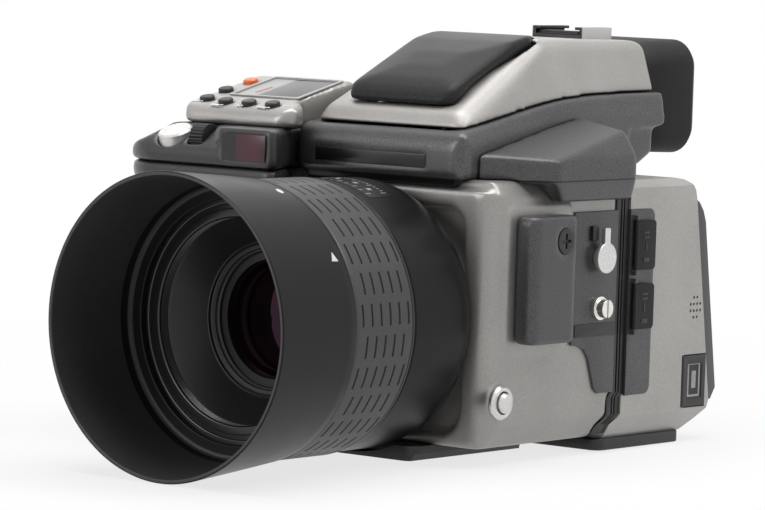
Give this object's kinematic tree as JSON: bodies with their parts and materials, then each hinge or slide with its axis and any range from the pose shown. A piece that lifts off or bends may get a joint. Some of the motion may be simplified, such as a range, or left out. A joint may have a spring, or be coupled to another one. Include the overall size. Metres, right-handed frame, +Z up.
{
  "type": "medium format digital reflex camera",
  "caption": "Medium format digital reflex camera: boxy body, hooded standard lens, side hand grip with control panel, pop-up flash finder, eyecup and digital back.",
  "frame": {"origin": "mouth of the quarter-inch tripod socket, on the underside of the coupling plate the camera stands on", "axes": "+Z up, -Y the way the lens looks, +X towards the side away from the hand grip"},
  "size_m": [0.1575, 0.2514, 0.1442],
  "materials": {
    "shell_grey": "satin metallic grey",
    "dark_grey": "dark fine-textured paint",
    "black_plastic": "matt black",
    "lens_black": "satin black",
    "rubber_black": "matt rubber",
    "ring_rubber": "ribbed rubber",
    "steel": "turned steel",
    "chrome": "polished",
    "optical_glass": "coated",
    "mirror_glass": "silvered",
    "screen_glass": "gloss",
    "red_window": "gloss, dark red",
    "orange_plastic": "satin orange",
    "flash_diffuser": "ribbed diffuser",
    "sensor_green": "gloss"
  },
  "bodies": {
    "camera": {"base_plate": "black_plastic", "rear_foot": "black_plastic", "body_shell": "shell_grey", "lens_mount_ring": "steel", "focusing_screen": "optical_glass", "mirror_pin": "steel", "side_plate": "dark_grey", "accessory_block": "dark_grey", "accessory_screw": "black_plastic", "strap_lugs": "chrome", "sync_socket": "chrome", "release_collar": "chrome", "shoulder_cover": "dark_grey", "finder_base": "dark_grey", "finder_shell": "shell_grey", "prism": "optical_glass", "eyepiece_lens": "optical_glass", "eyecup": "rubber_black", "hot_shoe": "steel", "flash_pin": "steel", "grip_top": "dark_grey", "battery_grip": "rubber_black", "control_panel": "shell_grey", "panel_window": "screen_glass", "lamp_window": "red_window", "back_seal": "rubber_black", "back_shell": "shell_grey", "rear_cover": "dark_grey", "rear_screen": "screen_glass", "sensor": "sensor_green", "sensor_filter": "optical_glass", "connector_strip": "dark_grey"},
    "mirror": {"mirror": "mirror_glass"},
    "flash_head": {"flash_lid": "dark_grey", "flash_window": "flash_diffuser"},
    "shutter_button": {"shutter_button": "chrome"},
    "front_wheel": {"front_wheel": "black_plastic"},
    "rear_wheel": {"rear_wheel": "black_plastic"},
    "lens_release_button": {"lens_release_button": "chrome"},
    "power_button": {"power_button": "orange_plastic"},
    "panel_button_1": {"panel_button_1": "black_plastic"},
    "panel_button_2": {"panel_button_2": "black_plastic"},
    "panel_button_3": {"panel_button_3": "black_plastic"},
    "panel_button_4": {"panel_button_4": "black_plastic"},
    "panel_button_5": {"panel_button_5": "black_plastic"},
    "nav_pad": {"nav_pad": "black_plastic"},
    "rear_button_1": {"rear_button_1": "black_plastic"},
    "rear_button_2": {"rear_button_2": "black_plastic"},
    "upper_port_cover": {"upper_port_cover": "rubber_black"},
    "lower_port_cover": {"lower_port_cover": "rubber_black"},
    "card_door": {"card_door": "black_plastic"},
    "lens": {"lens_barrel": "lens_black", "lens_bayonet": "steel", "lens_front_ring": "lens_black", "lens_elements": "optical_glass", "leaf_shutter": "lens_black"},
    "focus_ring": {"focus_ring": "ring_rubber"},
    "lens_hood": {"lens_hood": "lens_black"}
  },
  "joints": [
    {"name": "lens_twist", "type": "hinge", "parent": "camera", "child": "lens", "pos_m": [0, -0.038, 0.0472], "axis": [0, -1, 0], "range_deg": [0, 45]},
    {"name": "focus_turn", "type": "hinge", "parent": "lens", "child": "focus_ring", "pos_m": [0, -0.09, 0.0472], "axis": [0, -1, 0], "range_deg": [0, 95]},
    {"name": "hood_twist", "type": "hinge", "parent": "lens", "child": "lens_hood", "pos_m": [0, -0.107, 0.0472], "axis": [0, -1, 0], "range_deg": [0, 30]},
    {"name": "mirror_flip", "type": "hinge", "parent": "camera", "child": "mirror", "pos_m": [0, 0.02, 0.078], "axis": [-1, 0, 0], "range_deg": [0, 45]},
    {"name": "flash_raise", "type": "hinge", "parent": "camera", "child": "flash_head", "pos_m": [0, 0.016, 0.1375], "axis": [-1, 0, 0], "range_deg": [0, 40]},
    {"name": "shutter_press", "type": "slide", "parent": "camera", "child": "shutter_button", "axis": [0, 0.3746, -0.9272], "range_m": [0, 0.0015], "stiffness_N_per_m": 300, "springref_m": -0.0005},
    {"name": "front_wheel_turn", "type": "hinge", "parent": "camera", "child": "front_wheel", "pos_m": [-0.062, -0.0565, 0.102], "axis": [1, 0, 0], "continuous": true},
    {"name": "rear_wheel_turn", "type": "hinge", "parent": "camera", "child": "rear_wheel", "pos_m": [-0.07, 0.0105, 0.1013], "axis": [1, 0, 0], "continuous": true},
    {"name": "lens_release_press", "type": "slide", "parent": "camera", "child": "lens_release_button", "axis": [-1, 0, 0], "range_m": [0, 0.002], "stiffness_N_per_m": 300, "springref_m": -0.0005},
    {"name": "power_press", "type": "slide", "parent": "camera", "child": "power_button", "axis": [0, 0.23, -0.9732], "range_m": [0, 0.0008], "stiffness_N_per_m": 200, "springref_m": -0.0005},
    {"name": "panel_press_1", "type": "slide", "parent": "camera", "child": "panel_button_1", "axis": [0, 0.23, -0.9732], "range_m": [0, 0.0008], "stiffness_N_per_m": 200, "springref_m": -0.0005},
    {"name": "panel_press_2", "type": "slide", "parent": "camera", "child": "panel_button_2", "axis": [0, 0.23, -0.9732], "range_m": [0, 0.0008], "stiffness_N_per_m": 200, "springref_m": -0.0005},
    {"name": "panel_press_3", "type": "slide", "parent": "camera", "child": "panel_button_3", "axis": [0, 0.23, -0.9732], "range_m": [0, 0.0008], "stiffness_N_per_m": 200, "springref_m": -0.0005},
    {"name": "panel_press_4", "type": "slide", "parent": "camera", "child": "panel_button_4", "axis": [0, 0.23, -0.9732], "range_m": [0, 0.0008], "stiffness_N_per_m": 200, "springref_m": -0.0005},
    {"name": "panel_press_5", "type": "slide", "parent": "camera", "child": "panel_button_5", "axis": [0, 0.23, -0.9732], "range_m": [0, 0.0008], "stiffness_N_per_m": 200, "springref_m": -0.0005},
    {"name": "nav_press", "type": "slide", "parent": "camera", "child": "nav_pad", "axis": [0, -0.9877, -0.1564], "range_m": [0, 0.0006], "stiffness_N_per_m": 200, "springref_m": -0.0005},
    {"name": "rear_press_1", "type": "slide", "parent": "camera", "child": "rear_button_1", "axis": [0, -0.9877, -0.1564], "range_m": [0, 0.0006], "stiffness_N_per_m": 200, "springref_m": -0.0005},
    {"name": "rear_press_2", "type": "slide", "parent": "camera", "child": "rear_button_2", "axis": [0, -0.9877, -0.1564], "range_m": [0, 0.0006], "stiffness_N_per_m": 200, "springref_m": -0.0005},
    {"name": "upper_port_open", "type": "hinge", "parent": "camera", "child": "upper_port_cover", "pos_m": [0.0504, 0.0386, 0.0698], "axis": [0, 0, -1], "range_deg": [0, 110]},
    {"name": "lower_port_open", "type": "hinge", "parent": "camera", "child": "lower_port_cover", "pos_m": [0.0504, 0.0386, 0.0489], "axis": [0, 0, -1], "range_deg": [0, 110]},
    {"name": "card_door_open", "type": "hinge", "parent": "camera", "child": "card_door", "pos_m": [0.0482, 0.0714, 0.02125], "axis": [0, 0, -1], "range_deg": [0, 100]}
  ]
}
